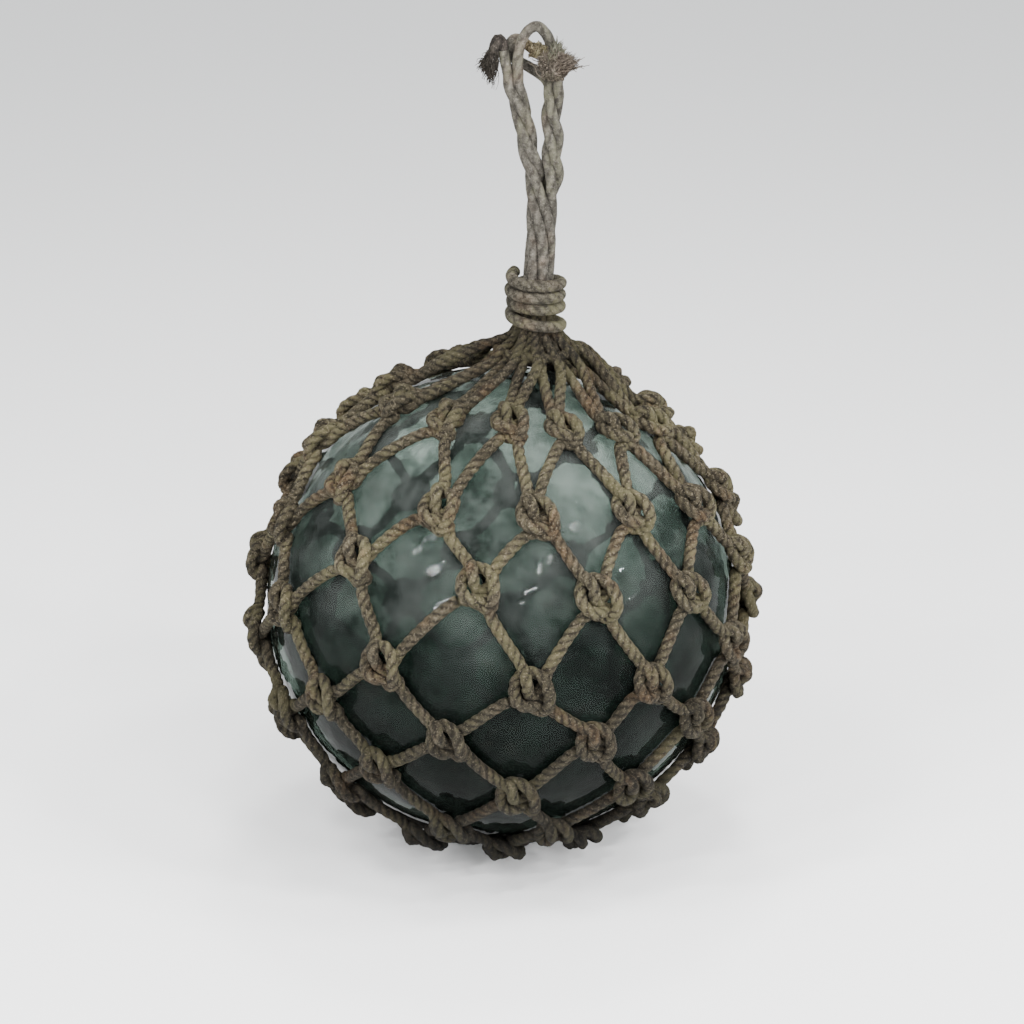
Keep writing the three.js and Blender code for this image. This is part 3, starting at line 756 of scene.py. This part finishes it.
def flat_coil():
    """A flat spiral of rope: reach = outer reach - pitch * turns from outside, just under half a rope up."""
    turns = np.linspace(0, COIL_TURNS, int(COIL_TURNS * 16) + 1)
    reach = COIL_REACH - COIL_ROPE * 0.98 * (COIL_TURNS - turns)
    angle = 2 * np.pi * turns
    rise = np.full_like(turns, COIL_ROPE * 0.46)
    places = np.stack([np.sin(angle) * reach, -np.cos(angle) * reach, rise], axis=1)
    route = smooth_route(places, STEP_ALONG_ROPE * COIL_ROPE)
    return laid_rope(route, np.tile([0, 0, -1.0], (len(route), 1)), COIL_ROPE, seed=41)


def pressed(rope):
    """The rope with nothing below the floor: each point's height is at least zero."""
    points = rope[0].copy()
    points[:, 2] = np.maximum(points[:, 2], 0)
    return (points, *rope[1:])


closing = [pressed(closing_bights()), pressed(flat_coil())]
dress(rope_piece("net_closing_coil", closing), "net_rope", "rope_net", net_rope)

# The whipping
#
# A separate length of the same laid rope, wound tightly nearly four turns round the neck. Its upper end
# stands up against the handle, and its lowest turn slants down to the right.

WHIPPING_ROPE = 0.0074
WHIPPING_REACH = 0.0152
# How high the rope is after each half turn from the lowest place, in millimetres above the neck.
WHIPPING_RISE = (2.2, 10.0, 14.6, 17.5, 21.9, 24.5, 29.2, 32.5, 50.0)
FIRST_HALF_TURN, LAST_HALF_TURN = -0.4, 7.17
WHIPPING_GROOVE = 0.035
MILLIMETRE = 0.001

whipping_rope = weathered_rope(
    "whipping_rope", (0.032, 0.028, 0.021), (0.135, 0.12, 0.093), (0.24, 0.215, 0.17),
    (0.172, 0.166, 0.085), 0.4, relief=0.18, mottling=1.9, flecks=0.15,
)


def whipping_route():
    """The rope's middle line: x = -reach * sin(turn), y = -reach * cos(turn), from the lowest turn up.

    The rise is read between the half turns and smoothed as the mean of seven neighbours.
    """
    half_turns = np.linspace(FIRST_HALF_TURN, LAST_HALF_TURN, 96)
    turn = np.pi * (half_turns - 0.5)
    rise = np.interp(half_turns, np.arange(len(WHIPPING_RISE)), WHIPPING_RISE) * MILLIMETRE
    rise = np.convolve(np.pad(rise, 3, mode="edge"), np.full(7, 1 / 7), mode="valid")
    reach = WHIPPING_REACH * (1 + 0.03 * np.sin(1.3 * half_turns + 1))
    places = neck + np.stack([-np.sin(turn) * reach, -np.cos(turn) * reach, rise], axis=1)
    return smooth_route(places, STEP_ALONG_ROPE * WHIPPING_ROPE)


winding = whipping_route()
winding_out = (winding - neck) * [1, 1, 0]
wound_rope = laid_rope(winding, winding_out, WHIPPING_ROPE, seed=60, groove=WHIPPING_GROOVE)
dress(rope_piece("whipping", [wound_rope]), "whipping_rope", "neck_whipping", whipping_rope)

# The handle
#
# Ropes of the same kind, worn smooth and grey, rise from the neck as one twisted bundle of six strands.
# They part in two legs round a narrow slot and end in an arch, a frayed tail, a cut end and a brush.

HANDLE_STRAND = 0.0065
HANDLE_LAY_PITCH, HANDLE_GROOVE = 5.5, 0.03
# The handle by height above the neck, in millimetres: the bundle's middle sideways, how far the two legs'
# middles stand from it, and the angle that the whole bundle has turned, in degrees from the front.
HEIGHTS = (-22, 20, 44, 59, 71, 84, 96, 109, 121, 133, 145, 151)
MIDDLE_SIDEWAYS = (0, 0.5, 2.2, 3.1, 3.3, 3.6, 4.6, 2.9, 1.8, 0.4, -1.0, -1.2)
LEG_OFFSET = (3.6, 3.6, 3.6, 3.6, 3.8, 4.6, 6.0, 6.8, 8.2, 8.7, 11.2, 12.0)
BUNDLE_ANGLE = (40, 30, 20, 2, -25, -62, -84, -90, -90, -90, -90, -90)
BUNDLE_REACH, LEG_REACH = 6.2, 3.5
LEG_TWIST = 5.4
PARTING_FROM, PARTING_TO = 76, 102
# Each strand's place in the bundle, in degrees from its left side, and its angle in the leg at the top.
TAIL_STRAND, ARCH_STRAND, BACK_STRAND = (True, 0, -70), (True, 60, 50), (True, -60, 170)
BRUSH_STRAND, ARCH_END_STRAND, HITCHED_STRAND = (False, 120, 30), (False, 180, 150), (False, 240, -90)

handle_grey = weathered_rope(
    "handle_rope", (0.056, 0.05, 0.042), (0.172, 0.157, 0.132), (0.31, 0.287, 0.247),
    (0.21, 0.205, 0.13), 0.35, yarns=30.0, relief=0.24, mottling=2.1, flecks=0.15,
)

# Where each rope goes above its leg, in millimetres from the neck: sideways, back and up.
ARCHED = (
    (-10.9, -2.6, 157), (-11.2, -4.2, 164), (-10.6, -4.6, 171), (-8.4, -4.0, 178.5), (-4.4, -2.6, 184),
    (0.4, -0.8, 185.5), (4.6, 0.8, 182), (7.4, 2.6, 177), (9.0, 4.0, 171), (10.2, 4.6, 164), (10.9, 4.4, 157),
)
TAIL = ((-16.9, -1.8, 157), (-18.2, -3.0, 163.5), (-19.6, -3.2, 170), (-20.4, -3.2, 175))
TAIL_END = (
    (-19.9, -3.2, 172), (-20.6, -3.2, 176.5), (-22.6, -3.6, 178.6), (-24.6, -4.2, 175), (-25.8, -4.4, 170),
    (-27.6, -4.4, 164),
)
BACK = ((-12.6, 4.6, 156), (-13.4, 3.6, 162))
HITCHED = (
    (4.6, 3.4, 154.5), (0.0, 6.0, 157.5), (-6.0, 7.0, 161), (-12.5, 5.2, 165), (-15.4, 2.6, 171),
    (-13.8, 1.6, 177.0), (-9.0, 2.6, 177.0), (-4.6, 1.6, 173.5), (-1.0, -0.4, 171.6), (2.6, -2.2, 171.0),
)
FRAYED = ((13.0, -1.4, 157), (12.4, -1.6, 161))


def strand_places(strand):
    """Places along one strand: round the bundle's middle below, and round its own leg's middle above.

    Bundle place = middle + bundle reach * (sin, -cos)(bundle angle + slot). Leg place = leg middle + leg
    reach * (sin, -cos)(top angle + twist * millimetres below the top). A smooth step blends the two.
    """
    left, slot, top_angle = strand
    heights = np.array(HEIGHTS, dtype=float)
    sideways = np.array(MIDDLE_SIDEWAYS)
    round_bundle = np.radians(np.array(BUNDLE_ANGLE) + slot)
    round_leg = np.radians(top_angle + LEG_TWIST * (heights[-1] - heights))
    leg_middle = sideways + np.array(LEG_OFFSET) * (-1 if left else 1)
    t = np.clip((heights - PARTING_FROM) / (PARTING_TO - PARTING_FROM), 0, 1)
    parted = t * t * (3 - 2 * t)
    x = (1 - parted) * (sideways + BUNDLE_REACH * np.sin(round_bundle))
    x += parted * (leg_middle + LEG_REACH * np.sin(round_leg))
    y = -(1 - parted) * BUNDLE_REACH * np.cos(round_bundle) - parted * LEG_REACH * np.cos(round_leg)
    return np.stack([x, y, heights], axis=1)


def top_rope(places, seed, end_size, bottom=None):
    """A rope of the handle along places in millimetres from the neck, its last tenth growing to end_size."""
    rise = np.array(places) if bottom is None else np.vstack([bottom, places])
    route = smooth_route(neck + rise * MILLIMETRE, STEP_ALONG_ROPE * HANDLE_STRAND)
    outward = np.tile([0.25, -1.0, 0.35], (len(route), 1))
    share = np.linspace(0, 1, len(route))
    size = 1 + (end_size - 1) * np.clip((share - 0.9) / 0.1, 0, 1)
    return laid_rope(
        route, outward, HANDLE_STRAND, seed, taper=size, turn_pitch=HANDLE_LAY_PITCH, groove=HANDLE_GROOVE
    )


def fibres(root, spread, tips, count, thickness, seed, scatter):
    """Frayed fibres as one closed bundle of thin, three-sided, tapering tubes.

    Each fibre starts near the root and runs some of the way to a scattered point between the tips, bent
    sideways by a sine of its own: root + start * (1 - t) + end * t + bend * sin(pi * t * waves).
    """
    chance = np.random.default_rng(seed)
    steps = 6
    t = np.linspace(0, 1, steps)[None, :, None]
    weights = chance.dirichlet(np.full(len(tips), 0.22), count)
    reach = chance.uniform(0.45, 1.0, (count, 1)) ** 0.7
    ends = weights @ np.array(tips) * MILLIMETRE * reach + chance.normal(0, scatter, (count, 3))
    starts = np.clip(chance.normal(0, 1, (count, 3)), -1.6, 1.6) * spread
    bend = chance.normal(0, 0.0014, (count, 1, 3))
    bend = bend * np.sin(np.pi * t * chance.uniform(0.7, 2.2, (count, 1, 1)))
    middle = root + starts[:, None] * (1 - t) + ends[:, None] * t + bend
    along = np.gradient(middle, axis=1)
    along /= np.linalg.norm(along, axis=2, keepdims=True)
    side = np.cross(along, chance.normal(size=(count, 1, 3)))
    side /= np.linalg.norm(side, axis=2, keepdims=True)
    other = np.cross(along, side)
    width = thickness * chance.uniform(0.6, 1.3, (count, 1, 1)) * (1 - 0.6 * t)
    corner = 2 * np.pi * np.arange(3) / 3
    to_corner = np.cos(corner)[:, None] * side[:, :, None] + np.sin(corner)[:, None] * other[:, :, None]
    points = (middle[:, :, None] + width[:, :, None] * to_corner).reshape(-1, 3)
    f, i, j = np.meshgrid(np.arange(count), np.arange(steps - 1), np.arange(3), indexing="ij")
    base = (f * steps + i) * 3
    here, beside = base + j, base + (j + 1) % 3
    quads = np.stack([here, beside, beside + 3, here + 3], axis=-1).reshape(-1, 4)
    first = np.arange(count) * steps * 3
    start = np.stack([first + 2, first + 1, first], axis=-1)
    last = first + (steps - 1) * 3
    end = np.stack([last, last + 1, last + 2], axis=-1)
    uv = np.zeros((len(quads), 4, 2))
    uv[..., 0] = (chance.random(count)[f.ravel()])[:, None]
    heights = np.repeat(chance.uniform(0.1, 1.0, count), steps * 3)
    return points, quads, uv, heights, np.vstack([start, end])


arch_places = np.vstack([np.array(ARCHED), strand_places(ARCH_END_STRAND)[::-1]])
arch = top_rope(arch_places, 1, 1.0, strand_places(ARCH_STRAND))
back = top_rope(BACK, 5, 0.8, strand_places(BACK_STRAND))
dress(rope_piece("handle_arch", [arch, back]), "handle_rope", "handle_rope_arched", handle_grey)

tail = top_rope(TAIL, 2, 1.0, strand_places(TAIL_STRAND))
dress(rope_piece("handle_tail", [tail]), "handle_rope", "handle_rope_tail", handle_grey)

# The tail bends over and hangs down, dark and frayed. The locks of each frayed end are in millimetres
# from where they start.
tail_brown = weathered_rope(
    "tail_yarn", (0.012, 0.0095, 0.008), (0.04, 0.033, 0.028), (0.10, 0.083, 0.07), (0.08, 0.078, 0.05), 0.1
)
tail_root = neck + np.array(TAIL_END[-2]) * MILLIMETRE
tail_locks = [
    (-2, 0, -6), (-8, -1, -7), (-11, 0, -7), (-4, 0, -14), (1, -1, -21), (-1, -1, -17), (-7, 0, -12),
]
tail_fray = [top_rope(TAIL_END, 12, 0.6), fibres(tail_root, 0.0016, tail_locks, 600, 0.00040, 31, 0.0009)]
dress(rope_piece("handle_tail_fray", tail_fray), "handle_rope", "handle_rope_tail", tail_brown)

hitched = top_rope(HITCHED[:-3], 3, 1.1, strand_places(HITCHED_STRAND))
dress(rope_piece("handle_hitch", [hitched]), "handle_rope", "handle_rope_hitched", handle_grey)

# The hitched rope ends under the arch in a short cut end, yellowish inside.
cut_yarn = weathered_rope(
    "cut_yarn", (0.05, 0.041, 0.024), (0.17, 0.142, 0.09), (0.31, 0.268, 0.182),
    (0.2, 0.185, 0.08), 0.4, mottling=1.6,
)
cut_root = neck + np.array(HITCHED[-2]) * MILLIMETRE
cut_locks = [(5, -2, 0), (6, -1, 2), (6, -4, 1), (5, 0, -2), (7, -3, -2)]
cut_end = [top_rope(HITCHED[-4:], 13, 1.25), fibres(cut_root, 0.0024, cut_locks, 500, 0.00045, 34, 0.0007)]
dress(rope_piece("handle_hitch_end", cut_end), "handle_rope", "handle_rope_hitched", cut_yarn)

# The last rope opens in a wide brush of unlaid yarn, with a small greenish tuft on top.
brush_brown = weathered_rope(
    "brush_yarn", (0.03, 0.022, 0.016), (0.14, 0.116, 0.094), (0.28, 0.235, 0.195),
    (0.18, 0.165, 0.11), 0.25, mottling=1.4, rust=0.2,
)
brush_root = neck + np.array(FRAYED[-1]) * MILLIMETRE - np.array([0.003, 0.0, 0.0])
brush_locks = [
    (-17, -5, 2), (-17, -4, 7), (-10, -8, 9), (0, -8, 10), (-3, -3, 11), (7, -6, 10), (11, -3, 10),
    (17, -5, 7), (21, -3, 3), (21, -5, 6), (19, -5, 0), (12, -7, 0), (1, -10, 2), (-10, -8, 1), (9, 4, 9),
    (-2, 4, 10),
]
brush = fibres(brush_root, 0.0040, brush_locks, 2800, 0.00045, 32, 0.0012)
dress(rope_piece("handle_brush", [brush]), "handle_rope", "handle_rope_frayed", brush_brown)

tuft_green = weathered_rope(
    "tuft_yarn", (0.05, 0.049, 0.036), (0.15, 0.146, 0.11), (0.26, 0.25, 0.195),
    (0.18, 0.19, 0.10), 0.4, mottling=1.2,
)
tuft_locks = [(-1, 0, 14), (3, 1, 17), (6, 0, 16), (9, 0, 12), (4, -3, 11), (0, -2, 12)]
tuft = fibres(brush_root, 0.0035, tuft_locks, 500, 0.00045, 33, 0.0011)
dress(rope_piece("handle_brush_tuft", [tuft]), "handle_rope", "handle_rope_frayed", tuft_green)

frayed = top_rope(FRAYED, 4, 1.0, strand_places(BRUSH_STRAND))
dress(rope_piece("handle_frayed", [frayed]), "handle_rope", "handle_rope_frayed", handle_grey)

# The stage
#
# A plain pale floor and a pale surround, four soft lights above that the glass doesn't mirror, and small
# lamps in groups of three, whose reflections glint in the glass.

FLOOR_REACH = 4
CEILING_LIGHTS = ((0.15, -0.55, 1.95), (-0.75, -0.6, 1.7), (0.95, -0.35, 1.7), (0.1, 0.6, 1.9))
CEILING_SIZE, CEILING_POWER = 0.3, 13.5
LAMP_GROUPS = (
    (-0.97, -0.77, 1.24), (-0.88, -1.09, 1.03), (-0.81, -1.37, 0.59), (0.35, -1.45, 0.86), (0.54, -1.2, 1.15),
    (0.87, -0.73, 1.34), (1.34, -0.68, 0.8), (1.42, -0.71, 0.51),
)
# Each lamp of a group: how far aside and up from the group's place, and how wide it is.
LAMPS_OF_GROUP = ((0, 0, 0.09), (0.13, 0.05, 0.075), (-0.05, -0.1, 0.06))
LAMP_POWER, LAMP_TALL = 3.2, 0.32

floor_corners = FLOOR_REACH * np.array([(-1, -1, 0), (1, -1, 0), (1, 1, 0), (-1, 1, 0)])
floor = new_piece("floor", floor_corners, np.array([(0, 1, 2, 3)]))
floor_material = bpy.data.materials.new("pale_floor")
floor_material.use_nodes = True
floor_shader = floor_material.node_tree.nodes["Principled BSDF"]
floor_shader.inputs["Base Color"].default_value = (0.93, 0.93, 0.93, 1)
floor_shader.inputs["Roughness"].default_value = 0.9
floor.data.materials.append(floor_material)

world = bpy.data.worlds.new("surround")
world.use_nodes = True
world.node_tree.nodes["Background"].inputs["Color"].default_value = (0.93, 0.95, 0.96, 1)
world.node_tree.nodes["Background"].inputs["Strength"].default_value = 1.25
bpy.context.scene.world = world


def soft_light(name, place, size, power, tall=1.0):
    """A soft light that faces the ball's centre, as wide as its size and tall times as high."""
    lamp = bpy.data.lights.new(name, "AREA")
    lamp.shape = "RECTANGLE"
    lamp.size, lamp.size_y = size, size * tall
    lamp.energy = power
    light = bpy.data.objects.new(name, lamp)
    light.location = place
    aim = Vector(ball_centre) - Vector(place)
    light.rotation_euler = aim.to_track_quat("-Z", "Y").to_euler()
    bpy.context.scene.collection.objects.link(light)
    return light


for number, place in enumerate(CEILING_LIGHTS):
    ceiling_light = soft_light("ceiling_light_%d" % (number + 1), place, CEILING_SIZE, CEILING_POWER)
    ceiling_light.visible_glossy = ceiling_light.visible_transmission = False
for number, (x, y, z) in enumerate(LAMP_GROUPS):
    for part, (aside, above, size) in enumerate(LAMPS_OF_GROUP):
        name = "small_lamp_%d_%d" % (number + 1, part + 1)
        soft_light(name, (x + aside, y, z + above), size, LAMP_POWER, LAMP_TALL)

# The camera stands 1.7 m from the ball's centre, 22 degrees above it. The photograph shows the ball
# left of the middle and below it, by these pixels, at this focal length in pixels.
CAMERA_DISTANCE = 1.7
CAMERA_ABOVE = np.radians(22)
FRAME_PIXELS = 1024
FOCAL_PIXELS = 2664
BALL_LEFT, BALL_BELOW = 10, 88
SENSOR_WIDTH = 36

camera_data = bpy.data.cameras.new("camera")
camera_data.sensor_width = SENSOR_WIDTH
camera_data.lens = SENSOR_WIDTH * FOCAL_PIXELS / FRAME_PIXELS
camera = bpy.data.objects.new("camera", camera_data)
pitch = CAMERA_ABOVE - np.arctan(BALL_BELOW / FOCAL_PIXELS)
yaw = np.arctan(BALL_LEFT / FOCAL_PIXELS)
camera.location = ball_centre + CAMERA_DISTANCE * np.array([0, -np.cos(CAMERA_ABOVE), np.sin(CAMERA_ABOVE)])
camera.rotation_euler = (np.pi / 2 - pitch, 0, -yaw)
bpy.context.scene.collection.objects.link(camera)
bpy.context.scene.camera = camera
